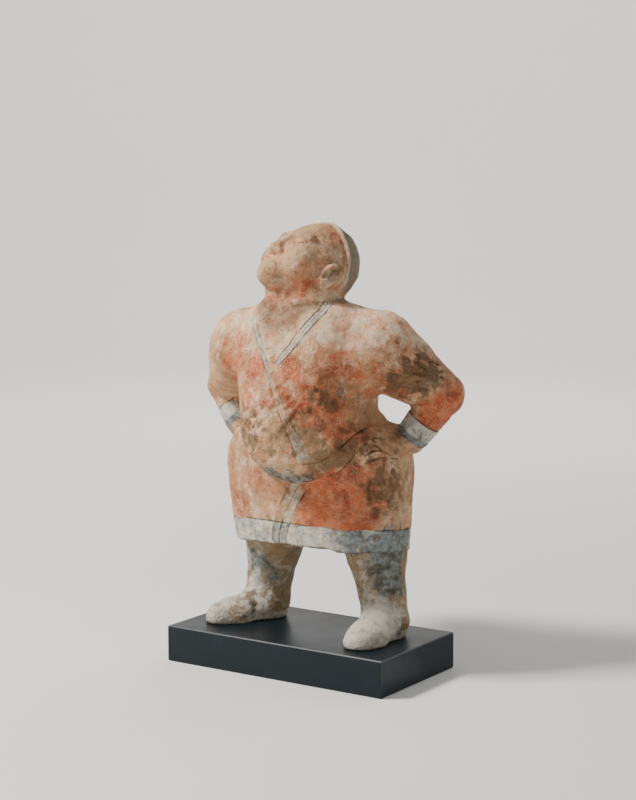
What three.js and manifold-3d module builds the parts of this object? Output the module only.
import * as THREE from "three";
import Module from "manifold-3d";

// A stout entertainer in moulded, fired clay: hands on hips, belly out, head thrown back, standing on a
// low black base. Millimetres, +Z up. The figure faces -Y and its own left side is +X. The origin is the
// middle of the base's underside.

// Driving dimensions
const BASE = { width: 305, depth: 164, height: 44, edge: 1.2 };
const JOIN_GAP = 0.3;
const SOLE_Z = BASE.height + JOIN_GAP;

// Each section of a built-up form gives its middle (x, y), its half width, its depths in front of and
// behind the middle, and how square it is (2 is an ellipse).
// The robe's skirt, from under the hem to where it closes over the hips
const SKIRT = [
  { z: 110, x: 3, y: 24, half: 107, front: 79, back: 75, square: 2.5 },
  { z: 150, x: 3, y: 24, half: 108, front: 80, back: 76, square: 2.5 },
  { z: 180, x: 2, y: 24, half: 111, front: 82, back: 78, square: 2.5 },
  { z: 215, x: 1, y: 24, half: 114, front: 84, back: 80, square: 2.5 },
  { z: 250, x: 1, y: 22, half: 116, front: 82, back: 80, square: 2.5 },
  { z: 272, x: 1, y: 20, half: 112, front: 78, back: 76, square: 2.4 },
  { z: 288, x: 1, y: 14, half: 98, front: 68, back: 66, square: 2.3 },
  { z: 302, x: 1, y: 8, half: 80, front: 55, back: 60, square: 2.2 },
];
const SKIRT_TOP = 300;
const SKIRT_FOOT = 105;
// The hem lies in a plane that drops towards the back, and a line marks off a band above it.
const HEM = { z: 149, acrossX: 0.015, acrossY: -0.118, band: 26.5 };

// The barrel of chest and belly
const TRUNK = [
  { z: 226, x: 8, y: -4, half: 74, front: 78, back: 74, square: 2.2 },
  { z: 250, x: 8, y: -4, half: 82, front: 86, back: 76, square: 2.2 },
  { z: 275, x: 7, y: -4, half: 84, front: 89, back: 78, square: 2.2 },
  { z: 305, x: 3, y: -3, half: 77, front: 88, back: 80, square: 2.2 },
  { z: 345, x: 0, y: -2, half: 82, front: 80, back: 78, square: 2.2 },
  { z: 385, x: 0, y: -1, half: 88, front: 72, back: 74, square: 2.2 },
  { z: 415, x: 0, y: -2, half: 84, front: 64, back: 64, square: 2.2 },
  { z: 430, x: 0, y: -3, half: 72, front: 57, back: 52, square: 2.1 },
  { z: 450, x: 0, y: -4, half: 54, front: 44, back: 42, square: 2 },
];
const TRUNK_TOP = 439;
// The belly hangs lowest a little left of the middle. Its underside climbs behind, and to both sides, more
// steeply on the right.
const CLIMB = { left: 0.0047, right: 0.0072 };
const BELLY = { low: 236, middle: 30, front: -72, rise: 0.2, round: 14 };

// Radii of the sleeves, cuffs and hands, and for each arm where it bends and how far it swells into the chest
const SLEEVE = { shoulder: 47, elbow: 25, wrist: 19, cuff: 20, cuffLength: 26, cuffStep: 2 };
const HAND = { wrist: 15, palm: 13, thumb: 9, tip: 6 };
const ARMS = [
  {
    shoulder: [86, 14, 386],
    elbow: [147.5, 62, 333],
    wrist: [112, 48, 280],
    palm: [88, 44, 284],
    thumb: [80, 30, 300],
    swell: 20,
  },
  {
    shoulder: [-93, 6, 380],
    elbow: [-158, 54, 324],
    wrist: [-127, 42, 279],
    palm: [-99, 38, 284],
    thumb: [-88, 28, 300],
    swell: 18,
  },
];

// Lines cut into the clay with a V-shaped tool: their depth and half width, how far the tool's back stands
// proud, the step between the places worked out along a line, how much of the tool is in at its ends, and how
// near the clay a line's points lie
const CUT = { depth: 1.6, half: 1.3, proud: 1.6, step: 13, end: 0.3, reach: 12 };
// The line above the hem is worked out at this many places, looking inwards from a ring outside the skirt.
const ROUND_LINE = { places: 44, ring: 160 };
// Where the lines run over the robe. A band has a line on each side, that far apart along its length.
const BANDS = {
  crossBand: {
    through: [[-43, -53, 426], [-26, -68, 399], [3, -81, 348], [29, -87, 303], [40, -85, 285], [48, -82, 265]],
    apart: [8, 7, 5, 7, 10, 18],
  },
  lapel: { through: [[44, -27, 440], [46, -48, 431], [25, -68, 398], [4, -77, 372]], apart: [10, 10, 8] },
  frontBand: { through: [[24, -60, 230], [11, -60, 207], [-3, -58, 175], [-6, -56, 158]], apart: [21, 20] },
};
const FOLDS = {
  sash: [[24, -90, 258], [57, -78, 262], [69, -68, 268], [78, -52, 279], [83, -30, 291]],
  hipFoldTop: [[96, -32, 264], [103, -19, 272], [108, -10, 271], [113, -1, 265]],
  hipFoldLow: [[99, -29, 259], [106, -17, 264], [114, 2, 262], [116, 10, 261]],
};

const LEG = { hip: 44, ankle: 25, top: 166 };
const SHOE = { heel: 25, ball: 19, heelZ: 58, toeZ: 49, instepZ: 62, halfWidth: 7, ballAt: 0.72 };
const LEGS = [
  { hip: [64, 39, 175], ankle: [88, 26, 90], heel: [93, 22], toe: [97, -42] },
  { hip: [-59, 18, 175], ankle: [-82, 33, 90], heel: [-83, 28], toe: [-110, -30] },
];

// The head is thrown back and turned a little to its right. The face is a plain, calm one on even
// proportions: eyes at half the head's height, brow, nose and chin a third apart, eyes one eye apart.
// A form's place in the head is given from its centre: side to its left, out of the face, up to the crown.
const HEAD = { centre: [-2, -1, 481], tilt: 50, turn: 18, faceBack: 12 };
const SKULL = { side: 0, out: -8.5, up: 15, radii: [45, 47, 47] };
// The hair is a close cap. Its edge runs back from the crown, and more steeply down behind the ears: each
// stretch is where it lies out of the face at the head's middle, and how far it slants forwards going up.
const HAIR = { thick: 2, crown: { out: -32, slant: 1 }, nape: { out: -26, slant: 0.35 } };
const JAW = { side: 0, out: 8, up: -14, radii: [39, 37, 43], blend: 16 };
const CHIN = { side: 0, out: 30, up: -47, radii: [14, 13, 11], blend: 12 };
const CHEEK = { side: 20, out: 27, up: -18, radii: [17, 15, 18], blend: 12 };
const NECK = { root: [-2, -13, 415], rootRadius: 50, out: -8, up: -14, radius: 40, blend: 12 };
const SOCKET = { side: 17.5, out: 49, up: 1, radii: [12, 9, 7], blend: 6 };
const LID = { side: 17.5, out: 36.5, up: 1, radii: [10, 7, 6.5], blend: 2 };
const BROW = { half: 24, out: 36, up: 11, radius: 5, blend: 8 };
const NOSE = { top: 4, topOut: 43, topRadius: 4, tip: -22, tipOut: 50, tipRadius: 6.5, blend: 5 };
const NOSTRIL = { side: 8, out: 45, up: -23, radii: [4.5, 6, 4.5], blend: 3 };
const LIPS = [
  { half: 12.5, out: 39, up: -34, radius: 3.5, blend: 3 },
  { half: 9, out: 40, up: -40, radius: 4, blend: 2.5 },
];
const EAR = { side: 45, out: -4, up: -9, radii: [8, 11, 18.5] };
const EAR_REACH = 28;
const EAR_HOLLOW = { side: 54, out: -2, up: -7, radii: [6.5, 7, 12], blend: 2 };

const wasm = await Module();
wasm.setup();

// Small helpers on plain numbers and [x, y, z] arrays
const clamp = (v, low, high) => Math.min(high, Math.max(low, v));
const mix = (a, b, t) => a + (b - a) * t;
const dot = (a, b) => a[0] * b[0] + a[1] * b[1] + a[2] * b[2];
const minus = (a, b) => [a[0] - b[0], a[1] - b[1], a[2] - b[2]];
const between = (a, b, t) => [mix(a[0], b[0], t), mix(a[1], b[1], t), mix(a[2], b[2], t)];
const distance = (a, b) => Math.hypot(a[0] - b[0], a[1] - b[1], a[2] - b[2]);

// Every form below is a function of a point, below zero inside the clay and above zero outside it.
// Two masses pressed together: the join is filled over about the given blend.
function press(a, b, blend) {
  const h = clamp(0.5 + (0.5 * (b - a)) / blend, 0, 1);
  return mix(b, a, h) - blend * h * (1 - h);
}
// One mass trimmed by another, with an edge rounded over about the given blend
const trim = (a, b, blend) => -press(-a, -b, blend);

// A limb that tapers from radius ra at a to rb at b: two balls and the cone that touches both
function limb(p, a, b, ra, rb) {
  const ba = minus(b, a);
  const pa = minus(p, a);
  const l2 = dot(ba, ba);
  const taper = ra - rb;
  const a2 = l2 - taper * taper;
  const y = dot(pa, ba);
  const z = y - l2;
  const off = [0, 1, 2].map((i) => pa[i] * l2 - ba[i] * y);
  const x2 = dot(off, off);
  const k = Math.sign(taper) * taper * taper * x2;
  if (Math.sign(z) * a2 * z * z * l2 > k) return Math.sqrt(x2 + z * z * l2) / l2 - rb;
  if (Math.sign(y) * a2 * y * y * l2 < k) return Math.sqrt(x2 + y * y * l2) / l2 - ra;
  return (Math.sqrt((x2 * a2) / l2) + y * taper) / l2 - ra;
}

// An egg-shaped mass at c, with its radii along the head's own directions
function egg(p, c, radii) {
  const d = minus(p, c);
  const q = [dot(d, FACE.s), dot(d, FACE.f), dot(d, FACE.u)];
  const near = Math.hypot(...q.map((v, i) => v / radii[i]));
  const steep = Math.hypot(...q.map((v, i) => v / radii[i] ** 2));
  return steep < 1e-9 ? -Math.min(...radii) : (near * (near - 1)) / steep;
}

// The section at a height, on a smooth curve through the stations around it
function stationAt(stations, z) {
  let i = 0;
  while (i < stations.length - 2 && z > stations[i + 1].z) i += 1;
  const [a, b] = [stations[i], stations[i + 1]];
  const before = stations[Math.max(0, i - 1)];
  const after = stations[Math.min(stations.length - 1, i + 2)];
  const t = clamp((z - a.z) / (b.z - a.z), 0, 1);
  const share = t * t * (3 - 2 * t);
  const at = {};
  for (const key of ["x", "y", "half", "front", "back", "square"]) {
    const leave = ((b[key] - before[key]) / (b.z - before.z)) * (b.z - a.z);
    const arrive = ((after[key] - a[key]) / (after.z - a.z)) * (b.z - a.z);
    at[key] = mix(a[key], b[key], share) + t * (1 - t) * ((1 - t) * leave - t * arrive);
  }
  return at;
}
function sections(p, stations) {
  const s = stationAt(stations, p[2]);
  const x = p[0] - s.x;
  const y = p[1] - s.y;
  const depth = y < 0 ? s.front : s.back;
  const ratio = (Math.abs(x / s.half) ** s.square + Math.abs(y / depth) ** s.square) ** (1 / s.square);
  return ratio < 1e-6 ? -Math.min(s.half, depth) : Math.hypot(x, y) * (1 - 1 / ratio);
}

// The head's own directions: s to its left ear, f out of the face, u to the crown
function headDirections() {
  const tilt = THREE.MathUtils.degToRad(HEAD.tilt);
  const turn = THREE.MathUtils.degToRad(HEAD.turn);
  const level = [-Math.sin(turn), -Math.cos(turn)];
  const f = [level[0] * Math.cos(tilt), level[1] * Math.cos(tilt), Math.sin(tilt)];
  const u = [-level[0] * Math.sin(tilt), -level[1] * Math.sin(tilt), Math.cos(tilt)];
  return { s: [Math.cos(turn), -Math.sin(turn), 0], f, u };
}
const FACE = headDirections();
const inHead = (s, f, u) => HEAD.centre.map((c, i) => c + s * FACE.s[i] + f * FACE.f[i] + u * FACE.u[i]);
// A named form of the head, on one side of it or the other
const lump = (p, form, side = 1) => egg(p, inHead(side * form.side, form.out, form.up), form.radii);
// A named form that lies across the face
function across(p, form) {
  const [right, left] = [-form.half, form.half].map((s) => inHead(s, form.out, form.up));
  return limb(p, right, left, form.radius, form.radius);
}

function skirt(p) {
  return trim(trim(sections(p, SKIRT), p[2] - SKIRT_TOP, 16), SKIRT_FOOT - p[2], 4);
}
function trunk(p) {
  const across = p[0] - BELLY.middle;
  const climb = across > 0 ? CLIMB.left : CLIMB.right;
  const floor = BELLY.low + climb * across ** 2 + BELLY.rise * (p[1] - BELLY.front);
  return trim(trim(sections(p, TRUNK), p[2] - TRUNK_TOP, 12), floor - p[2], BELLY.round);
}
// A sleeved arm bent at the elbow, its turned cuff, and the hand that rests on the hip
function arm(p, a) {
  const over = limb(p, a.shoulder, a.elbow, SLEEVE.shoulder, SLEEVE.elbow);
  const fore = limb(p, a.elbow, a.wrist, SLEEVE.elbow, SLEEVE.wrist);
  const length = distance(a.elbow, a.wrist);
  const past = dot(minus(p, a.wrist), minus(a.elbow, a.wrist)) / length;
  const top = between(a.wrist, a.elbow, SLEEVE.cuffLength / length);
  const half = SLEEVE.cuffLength / 2;
  const cuff = limb(p, top, a.wrist, SLEEVE.cuff + SLEEVE.cuffStep, SLEEVE.cuff);
  const sleeve = press(press(over, fore, 6), trim(cuff, Math.abs(past - half) - half, 2), 1.5);
  const palm = limb(p, a.wrist, a.palm, HAND.wrist, HAND.palm);
  const thumb = limb(p, a.palm, a.thumb, HAND.thumb, HAND.tip);
  return press(sleeve, press(palm, thumb, 5), 3);
}
// Chest, belly and both arms
function upper(p) {
  let d = trunk(p);
  for (const a of ARMS) d = press(d, arm(p, a), a.swell);
  return d;
}
// A trousered leg and its plain shoe
function leg(p, l) {
  const calf = trim(limb(p, l.hip, l.ankle, LEG.hip, LEG.ankle), p[2] - LEG.top, 6);
  const instep = limb(p, l.ankle, [...l.heel, SHOE.instepZ], LEG.ankle + 1, LEG.ankle + 1);
  const sole = limb(p, [...l.heel, SHOE.heelZ], [...l.toe, SHOE.toeZ], SHOE.heel, SHOE.ball);
  const [x, y, z] = between([...l.heel, SHOE.toeZ], [...l.toe, SHOE.toeZ], SHOE.ballAt);
  const broad = limb(p, [x - SHOE.halfWidth, y + 2, z], [x + SHOE.halfWidth, y - 2, z], SHOE.ball, SHOE.ball);
  return press(press(calf, instep, 10), press(sole, broad, 8), 16);
}

// Neck, skull, jaw, chin and cheeks
function head(p) {
  const neck = limb(p, NECK.root, inHead(0, NECK.out, NECK.up), NECK.rootRadius, NECK.radius);
  let d = press(lump(p, SKULL), lump(p, JAW), JAW.blend);
  d = press(d, neck, NECK.blend);
  d = press(d, lump(p, CHIN), CHIN.blend);
  for (const side of [-1, 1]) d = press(d, lump(p, CHEEK, side), CHEEK.blend);
  return d;
}
const hair = (p) => lump(p, { ...SKULL, radii: SKULL.radii.map((r) => r + HAIR.thick) });
// Eye hollows with lowered lids, brow, nose and closed lips
function face(p) {
  let d = head(p);
  for (const side of [-1, 1]) {
    d = trim(d, -lump(p, SOCKET, side), SOCKET.blend);
    d = press(d, lump(p, LID, side), LID.blend);
    d = press(d, lump(p, NOSTRIL, side), NOSTRIL.blend);
  }
  const [top, tip] = [inHead(0, NOSE.topOut, NOSE.top), inHead(0, NOSE.tipOut, NOSE.tip)];
  d = press(d, across(p, BROW), BROW.blend);
  d = press(d, limb(p, top, tip, NOSE.topRadius, NOSE.tipRadius), NOSE.blend);
  for (const lip of LIPS) d = press(d, across(p, lip), lip.blend);
  return trim(d, -dot(minus(p, HEAD.centre), FACE.f), 1);
}
// An ear is a shallow shell standing off the side of the head, with its hollow.
const ear = (p, side) => trim(lump(p, EAR, side), -lump(p, EAR_HOLLOW, side), EAR_HOLLOW.blend);

const CORNERS = [0, 1, 2, 3, 4, 5, 6, 7].map((c) => [c & 1, (c >> 1) & 1, (c >> 2) & 1]);

// Calls a function for every lattice place from a first index up to the given counts.
function everyPlace(counts, first, visit) {
  for (let k = first; k < counts[2]; k += 1)
    for (let j = first; j < counts[1]; j += 1) for (let i = first; i < counts[0]; i += 1) visit(i, j, k);
}

const LOOSE_PASSES = 30;
// Turns the weakest corner of any cell where two parts of the form would touch at a point or an edge only.
function partLooseCorners(value, n, at) {
  const loose = [];
  for (let a = 0; a < 8; a += 1)
    for (let b = a + 1; b < 8; b += 1) {
      const apart = a ^ b;
      const others = CORNERS.map((_, c) => c).filter((c) => c !== a && c !== b);
      if (apart === 7) loose.push([a, b, others]);
      if ([3, 5, 6].includes(apart)) loose.push([a, b, others.filter((c) => ((c ^ a) & ~apart) === 0)]);
    }
  for (let [turned, pass] = [true, 0]; turned && pass < LOOSE_PASSES; pass += 1) {
    turned = false;
    everyPlace(n.map((v) => v - 1), 0, (i, j, k) => {
      const cell = CORNERS.map((c) => at(i + c[0], j + c[1], k + c[2]));
      const inside = cell.map((c) => value[c] < 0);
      const touches = ([a, b, rest]) => inside[a] === inside[b] && rest.every((c) => inside[c] !== inside[a]);
      const bad = loose.find(touches);
      if (!bad) return;
      const weaker = (x, y) => (Math.abs(value[cell[x]]) < Math.abs(value[cell[y]]) ? x : y);
      const weakest = [bad[0], bad[1], ...bad[2]].reduce(weaker);
      value[cell[weakest]] = inside[weakest] ? 0.01 : -0.01;
      turned = true;
    });
  }
}

// The net of a form: one point in each lattice cell that the surface crosses, joined across cell walls
function netOf(form, low, high, cell) {
  const n = low.map((v, i) => Math.ceil((high[i] - v) / cell) + 1);
  const at = (i, j, k) => i + n[0] * (j + n[1] * k);
  const value = new Float64Array(n[0] * n[1] * n[2]);
  everyPlace(n, 0, (i, j, k) => {
    value[at(i, j, k)] = form([low[0] + i * cell, low[1] + j * cell, low[2] + k * cell]);
  });
  partLooseCorners(value, n, at);

  const edges = [];
  for (let a = 0; a < 8; a += 1) for (const bit of [1, 2, 4]) if (!(a & bit)) edges.push([a, a | bit]);
  const points = [];
  const pointOf = new Map();
  everyPlace(n.map((v) => v - 1), 0, (i, j, k) => {
    const v = CORNERS.map((c) => value[at(i + c[0], j + c[1], k + c[2])]);
    const crossings = edges
      .filter(([a, b]) => v[a] < 0 !== v[b] < 0)
      .map(([a, b]) => between(CORNERS[a], CORNERS[b], v[a] / (v[a] - v[b])));
    if (!crossings.length) return;
    const middle = [0, 1, 2].map((c) => crossings.reduce((sum, q) => sum + q[c], 0) / crossings.length);
    pointOf.set(at(i, j, k), points.length);
    points.push([0, 1, 2].map((c) => low[c] + cell * ([i, j, k][c] + middle[c])));
  });

  const faces = [];
  const patch = (cells, inward) => {
    const [p, q, r, s] = cells.map((c) => pointOf.get(c));
    const short = distance(points[p], points[r]) < distance(points[q], points[s]);
    const halves = short ? [[p, q, r], [p, r, s]] : [[q, r, s], [q, s, p]];
    for (const [x, y, z] of halves) faces.push(inward ? [x, z, y] : [x, y, z]);
  };
  everyPlace(n.map((v) => v - 1), 1, (i, j, k) => {
    const inside = value[at(i, j, k)] < 0;
    const back = (x, y, z) => at(i - x, j - y, k - z);
    if (inside !== value[at(i + 1, j, k)] < 0)
      patch([back(0, 1, 1), back(0, 0, 1), back(0, 0, 0), back(0, 1, 0)], !inside);
    if (inside !== value[at(i, j + 1, k)] < 0)
      patch([back(1, 0, 1), back(1, 0, 0), back(0, 0, 0), back(0, 0, 1)], !inside);
    if (inside !== value[at(i, j, k + 1)] < 0)
      patch([back(1, 1, 0), back(0, 1, 0), back(0, 0, 0), back(1, 0, 0)], !inside);
  });
  return { points, faces };
}

// How fast a form grows at a point, along X, Y and Z
function slope(form, p) {
  const step = 0.2;
  return [0, 1, 2].map((c) => {
    const [before, after] = [[...p], [...p]];
    before[c] -= step;
    after[c] += step;
    return (form(after) - form(before)) / (2 * step);
  });
}
// Draws a point onto the surface, if that takes it no further than its reach.
function settle(form, p, reach) {
  let q = p;
  for (let pass = 0; pass < 4; pass += 1) {
    const g = slope(form, q);
    const steep = Math.hypot(...g);
    if (steep < 1e-3) break;
    const step = clamp(form(q) / steep, -reach, reach);
    q = q.map((v, c) => v - (g[c] / steep) * step);
  }
  return distance(q, p) > reach ? p : q;
}
// Evens the net out along the surface.
function relax(net, form, reach) {
  const around = net.points.map(() => []);
  for (const f of net.faces) for (let e = 0; e < 3; e += 1) around[f[e]].push(net.points[f[(e + 1) % 3]]);
  net.points = net.points.map((p, i) => {
    const middle = [0, 1, 2].map((c) => around[i].reduce((sum, q) => sum + q[c], 0) / around[i].length);
    return settle(form, between(p, middle, 0.5), reach);
  });
}
// Splits edges whose middle lies off the surface by more than the tolerance, down to a shortest edge.
function refine(net, form, tolerance, shortest) {
  const edgeKey = (a, b) => `${Math.min(a, b)},${Math.max(a, b)}`;
  const edgesOf = (f) => [[f[0], f[1]], [f[1], f[2]], [f[2], f[0]]];
  const split = new Map();
  const coarse = ([a, b]) => {
    const [p, q] = [net.points[a], net.points[b]];
    if (distance(p, q) < shortest) return false;
    const middle = between(p, q, 0.5);
    return Math.abs(form(middle)) > tolerance * Math.max(0.3, Math.hypot(...slope(form, middle)));
  };
  for (const f of net.faces)
    for (const edge of edgesOf(f)) if (edge[0] < edge[1] && coarse(edge)) split.set(edgeKey(...edge), null);

  // A face that is split at all is split at its longest edge first, so that no face grows thin.
  const longest = (f) => {
    const lengths = edgesOf(f).map(([a, b]) => distance(net.points[a], net.points[b]));
    return lengths.indexOf(Math.max(...lengths));
  };
  for (let grew = true; grew; ) {
    grew = false;
    for (const f of net.faces) {
      const edges = edgesOf(f);
      const key = edgeKey(...edges[longest(f)]);
      if (split.has(key) || !edges.some((edge) => split.has(edgeKey(...edge)))) continue;
      split.set(key, null);
      grew = true;
    }
  }
  const middleOf = (a, b) => {
    const key = edgeKey(a, b);
    if (split.get(key) === null) {
      const [p, q] = [net.points[a], net.points[b]];
      split.set(key, net.points.length);
      net.points.push(settle(form, between(p, q, 0.5), distance(p, q) * 0.35));
    }
    return split.get(key);
  };
  const faces = [];
  for (const f of net.faces) {
    const e = longest(f);
    const [a, b, c] = [f[e], f[(e + 1) % 3], f[(e + 2) % 3]];
    if (!split.has(edgeKey(a, b))) {
      faces.push(f);
      continue;
    }
    const m = middleOf(a, b);
    for (const [x, y] of [[b, c], [c, a]]) {
      if (split.has(edgeKey(x, y))) faces.push([m, x, middleOf(x, y)], [m, middleOf(x, y), y]);
      else faces.push([m, x, y]);
    }
  }
  net.faces = faces;
}

function solidOf(points, faces) {
  const vertProperties = new Float32Array(points.flat());
  const triVerts = new Uint32Array(faces.flat());
  return new wasm.Manifold(new wasm.Mesh({ numProp: 3, vertProperties, triVerts }));
}
// The net's points lie a little outside the form, because the flat faces between them cut into its roundness.
const NET_SWELL = 0.35;
// One mass of clay as a closed solid: its net, evened out, and split where it curves
function mass(form, { low, high, cell, tolerance, shortest }) {
  const swollen = (p) => form(p) - NET_SWELL;
  const net = netOf(swollen, low, high, cell);
  for (let pass = 0; pass < 3; pass += 1) relax(net, swollen, cell / 2);
  if (tolerance) for (let pass = 0; pass < 3; pass += 1) refine(net, swollen, tolerance, shortest);
  return solidOf(net.points, net.faces);
}
// A large block whose top face passes through a point and looks along a direction, to cut with
function block(point, direction) {
  const up = new THREE.Vector3(0, 0, 1);
  const turn = new THREE.Quaternion().setFromUnitVectors(up, new THREE.Vector3(...direction).normalize());
  const size = 800;
  const corners = CORNERS.map(([x, y, z]) => {
    const corner = new THREE.Vector3((x - 0.5) * size, (y - 0.5) * size, ((z - 1) * size) / 4);
    return corner.applyQuaternion(turn).add(new THREE.Vector3(...point)).toArray();
  });
  const sides = [[0, 2, 3, 1], [4, 5, 7, 6], [0, 1, 5, 4], [2, 6, 7, 3], [0, 4, 6, 2], [1, 3, 7, 5]];
  return solidOf(corners, sides.flatMap(([a, b, c, d]) => [[a, b, c], [a, c, d]]));
}
// The place on the finished clay under a point that lies near it
function onClay(clay, point, out) {
  const caster = new THREE.Raycaster(point.clone().addScaledVector(out, CUT.reach), out.clone().negate());
  const [hit] = caster.intersectObject(clay);
  return hit.point;
}
const robeForm = (p) => Math.min(upper(p), skirt(p));
const outward = (p) => new THREE.Vector3(...slope(robeForm, p.toArray())).normalize();
// The value at t, from 0 to 1, of a list spread evenly along a line
function valueAlong(values, t) {
  const place = t * (values.length - 1);
  const i = Math.min(Math.floor(place), values.length - 2);
  return mix(values[i], values[i + 1], place - i);
}
// A line's places on the clay, moved to one side of it by half a band's width
function placesAlong(clay, through, apart = [0, 0], side = 0) {
  const curve = new THREE.CatmullRomCurve3(through.map((p) => new THREE.Vector3(...p)));
  const count = Math.ceil(curve.getLength() / CUT.step);
  const places = [];
  for (let i = 0; i <= count; i += 1) {
    const point = curve.getPointAt(i / count);
    const out = outward(point);
    const across = new THREE.Vector3().crossVectors(out, curve.getTangentAt(i / count)).normalize();
    point.addScaledVector(across, (side * valueAlong(apart, i / count)) / 2);
    places.push({ point: onClay(clay, point, out), out, across, size: i % count ? 1 : CUT.end });
  }
  return places;
}
// The places of the line that runs round the skirt above its hem, all in one plane
function placesRound(clay) {
  const middle = SKIRT[1];
  const height = HEM.z + HEM.band + HEM.acrossX * middle.x + HEM.acrossY * middle.y;
  const places = [];
  for (let i = 0; i < ROUND_LINE.places; i += 1) {
    const angle = (i / ROUND_LINE.places) * 2 * Math.PI;
    const [x, y] = [Math.cos(angle), Math.sin(angle)];
    const tilt = HEM.acrossX * x + HEM.acrossY * y;
    const from = new THREE.Vector3(middle.x, middle.y, height);
    from.addScaledVector(new THREE.Vector3(x, y, tilt), ROUND_LINE.ring);
    const inwards = new THREE.Vector3(-x, -y, -tilt).normalize();
    const [{ point }] = new THREE.Raycaster(from, inwards).intersectObject(clay);
    const out = outward(point);
    const across = new THREE.Vector3().crossVectors(out, new THREE.Vector3(-y, x, 0)).normalize();
    places.push({ point, out, across, size: 1 });
  }
  return places;
}
// The tool's path as a three-sided bar: its edge lies under the clay and its back stands proud.
function cutter(places, closed) {
  const points = places.flatMap(({ point, out, across, size }) => {
    const half = (size * CUT.half * (CUT.depth + CUT.proud)) / CUT.depth;
    const back = point.clone().addScaledVector(out, CUT.proud);
    const edge = point.clone().addScaledVector(out, -size * CUT.depth);
    const sides = [half, -half].map((reach) => back.clone().addScaledVector(across, reach));
    return [sides[0], edge, sides[1]].map((p) => p.toArray());
  });
  const faces = [];
  const last = places.length - 1;
  for (let i = 0; i < last + (closed ? 1 : 0); i += 1) {
    const [a, b] = [3 * i, 3 * ((i + 1) % places.length)];
    for (const [j, k] of [[0, 1], [1, 2], [2, 0]]) faces.push([a + j, b + k, a + k], [a + j, b + j, b + k]);
  }
  if (!closed) faces.push([0, 1, 2], [3 * last, 3 * last + 2, 3 * last + 1]);
  return solidOf(points, faces);
}
// The made clay with all its lines cut
function cutLines(made) {
  const clay = new THREE.Mesh(geometryOf(made));
  const cutters = [cutter(placesRound(clay), true)];
  for (const through of Object.values(FOLDS)) cutters.push(cutter(placesAlong(clay, through), false));
  for (const { through, apart } of Object.values(BANDS))
    for (const side of [-1, 1]) cutters.push(cutter(placesAlong(clay, through, apart, side), false));
  return cutters.reduce((whole, tool) => whole.subtract(tool), made);
}
function geometryOf(made) {
  const mesh = made.getMesh();
  const geometry = new THREE.BufferGeometry();
  geometry.setAttribute("position", new THREE.BufferAttribute(new Float32Array(mesh.vertProperties), 3));
  geometry.setIndex(new THREE.BufferAttribute(new Uint32Array(mesh.triVerts), 1));
  geometry.computeVertexNormals();
  return geometry;
}

// Where each mass lies, the lattice its net starts from, and when an edge is split
const robeRoom = { low: [-150, -90, 63], high: [150, 130, 330], cell: 27, tolerance: 1.2, shortest: 12 };
const chestRoom = { low: [-220, -125, 200], high: [220, 130, 460], cell: 17, tolerance: 1.1, shortest: 9 };
const legRoom = { low: [-160, -90, 10], high: [160, 120, 200], cell: 15, tolerance: 1.3, shortest: 10 };
const napeRoom = { low: [-80, -90, 350], high: [80, 90, 550], cell: 12.5, tolerance: 0.8, shortest: 7 };
const hairRoom = { low: [-70, -80, 400], high: [70, 90, 560], cell: 16, tolerance: 1, shortest: 8 };
const faceRoom = { low: [-70, -90, 400], high: [70, 80, 550], cell: 5.5 };
const robe = mass(skirt, robeRoom);
const chest = mass(upper, chestRoom);
const legs = LEGS.map((l) => mass((p) => leg(p, l), legRoom));
// The head is made in two halves, with the finer net in front.
const nape = mass(head, napeRoom);
const visage = mass(face, faceRoom);
// The cap of hair ends in two flat cuts.
const edges = [HAIR.crown, HAIR.nape].map(({ out, slant }) => {
  const backwards = FACE.f.map((v, i) => slant * FACE.u[i] - v);
  return block(inHead(0, out, 0), backwards);
});
const cap = mass(hair, hairRoom).subtract(edges[0].intersect(edges[1]));
const ears = [-1, 1].map((side) => {
  const middle = inHead(side * EAR.side, EAR.out, EAR.up);
  const [low, high] = [-EAR_REACH, EAR_REACH].map((reach) => middle.map((v) => v + reach));
  return mass((p) => ear(p, side), { low, high, cell: 5.2 });
});
const behind = (f) => block(inHead(0, f, 0), FACE.f);
const inFront = (f) => block(inHead(0, f, 0), FACE.f.map((v) => -v));

// Everything is pressed into one piece, cut off along the hem and flat under the soles.
const pressed = [
  robe.subtract(block([0, 0, HEM.z], [-HEM.acrossX, -HEM.acrossY, 1])),
  ...legs,
  nape.subtract(inFront(HEAD.faceBack)),
  visage.subtract(behind(HEAD.faceBack - JOIN_GAP)),
  cap,
  ...ears,
].reduce((whole, part) => whole.add(part), chest);
const standing = pressed.subtract(block([0, 0, SOLE_Z], [0, 0, 1]));
const figure = new THREE.Mesh(
  geometryOf(cutLines(standing)),
  new THREE.MeshStandardMaterial({ color: 0xb08a6c, roughness: 0.95, metalness: 0 }),
);
figure.name = "figure";

// The base is a plain black block with its edges just broken.
const outline = new THREE.Shape([
  new THREE.Vector2(-BASE.width / 2, -BASE.depth / 2),
  new THREE.Vector2(BASE.width / 2, -BASE.depth / 2),
  new THREE.Vector2(BASE.width / 2, BASE.depth / 2),
  new THREE.Vector2(-BASE.width / 2, BASE.depth / 2),
]);
const base = new THREE.Mesh(
  new THREE.ExtrudeGeometry(outline, {
    depth: BASE.height - 2 * BASE.edge,
    bevelThickness: BASE.edge,
    bevelSize: BASE.edge,
    bevelOffset: -BASE.edge,
    bevelSegments: 1,
  }),
  new THREE.MeshStandardMaterial({ color: 0x14181a, roughness: 0.45, metalness: 0 }),
);
base.position.z = BASE.edge;
base.name = "display_base";

const group = new THREE.Group();
group.add(figure, base);

export default group;
